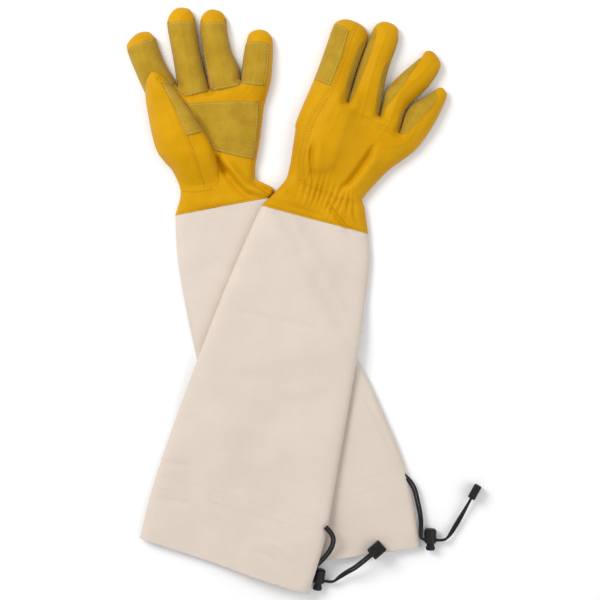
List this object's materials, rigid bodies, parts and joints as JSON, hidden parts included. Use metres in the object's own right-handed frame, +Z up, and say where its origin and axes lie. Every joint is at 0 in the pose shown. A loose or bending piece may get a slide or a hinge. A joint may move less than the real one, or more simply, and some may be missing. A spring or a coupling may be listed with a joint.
{
  "type": "beekeeping gloves",
  "caption": "Pair of long leather-handed beekeeping gloves with canvas sleeves, one lying over the other, with drawcords, cord locks and cord ends.",
  "frame": {"origin": "bottom centre of the pair without its free cords, on the table", "axes": "+X across the gloves, +Y along them towards the fingertips, +Z up from the table"},
  "size_m": [0.3521, 0.5794, 0.0355],
  "materials": {
    "leather": "semi-matte dyed goatskin",
    "suede": "napped suede",
    "canvas": "plain-weave cotton canvas",
    "elastic_tape": "flat covered elastic",
    "casing_tape": "cotton tape",
    "drawcord": "braided-cover elastic cord",
    "black_plastic": "moulded, slightly glossy",
    "spring_steel": "drawn wire"
  },
  "bodies": {
    "left_glove": {"left_palm_leather": "leather", "left_back_leather": "leather", "left_fourchette_index_middle": "suede", "left_fourchette_middle_ring": "suede", "left_fourchette_ring_little": "suede", "left_thumb_front": "leather", "left_thumb_back": "leather", "left_index_patch": "suede", "left_middle_patch": "suede", "left_ring_patch": "suede", "left_little_patch": "suede", "left_palm_patch": "suede", "left_thumb_patch": "suede", "left_wrist_elastic": "elastic_tape", "left_canvas_sleeve": "canvas", "left_drawcord_casing": "casing_tape", "left_drawcord_hidden": "drawcord", "left_drawcord_strand_a": "drawcord", "left_drawcord_strand_b": "drawcord", "left_cord_end_body": "black_plastic", "left_cord_end_clip": "black_plastic"},
    "left_cord_lock": {"left_cord_lock_body": "black_plastic", "left_cord_lock_spring": "spring_steel"},
    "left_plunger": {"left_cord_lock_plunger": "black_plastic"},
    "right_glove": {"right_palm_leather": "leather", "right_back_leather": "leather", "right_fourchette_index_middle": "suede", "right_fourchette_middle_ring": "suede", "right_fourchette_ring_little": "suede", "right_thumb_front": "leather", "right_thumb_back": "leather", "right_index_patch": "suede", "right_middle_patch": "suede", "right_ring_patch": "suede", "right_little_patch": "suede", "right_palm_patch": "suede", "right_thumb_patch": "suede", "right_wrist_elastic": "elastic_tape", "right_canvas_sleeve": "canvas", "right_drawcord_casing": "casing_tape", "right_drawcord_hidden": "drawcord", "right_drawcord_strand_a": "drawcord", "right_drawcord_strand_b": "drawcord", "right_cord_end_body": "black_plastic", "right_cord_end_clip": "black_plastic"},
    "right_cord_lock": {"right_cord_lock_body": "black_plastic", "right_cord_lock_spring": "spring_steel"},
    "right_plunger": {"right_cord_lock_plunger": "black_plastic"}
  },
  "joints": [
    {"name": "right_glove_lift", "type": "slide", "parent": "left_glove", "child": "right_glove", "axis": [0, 0, 1], "range_m": [0, 0.12]},
    {"name": "left_cord_lock_slide", "type": "slide", "parent": "left_glove", "child": "left_cord_lock", "axis": [1, 0, 0], "range_m": [0, 0.005]},
    {"name": "left_plunger_press", "type": "slide", "parent": "left_cord_lock", "child": "left_plunger", "axis": [0, 1, 0], "range_m": [0, 0.0028], "stiffness_N_per_m": 900, "springref_m": -0.002, "deforming": ["left_cord_lock_spring"]},
    {"name": "right_cord_lock_slide", "type": "slide", "parent": "right_glove", "child": "right_cord_lock", "axis": [0.9903, -0.1392, 0], "range_m": [0, 0.005]},
    {"name": "right_plunger_press", "type": "slide", "parent": "right_cord_lock", "child": "right_plunger", "axis": [0.1392, 0.9903, 0], "range_m": [0, 0.0028], "stiffness_N_per_m": 900, "springref_m": -0.002, "deforming": ["right_cord_lock_spring"]}
  ]
}
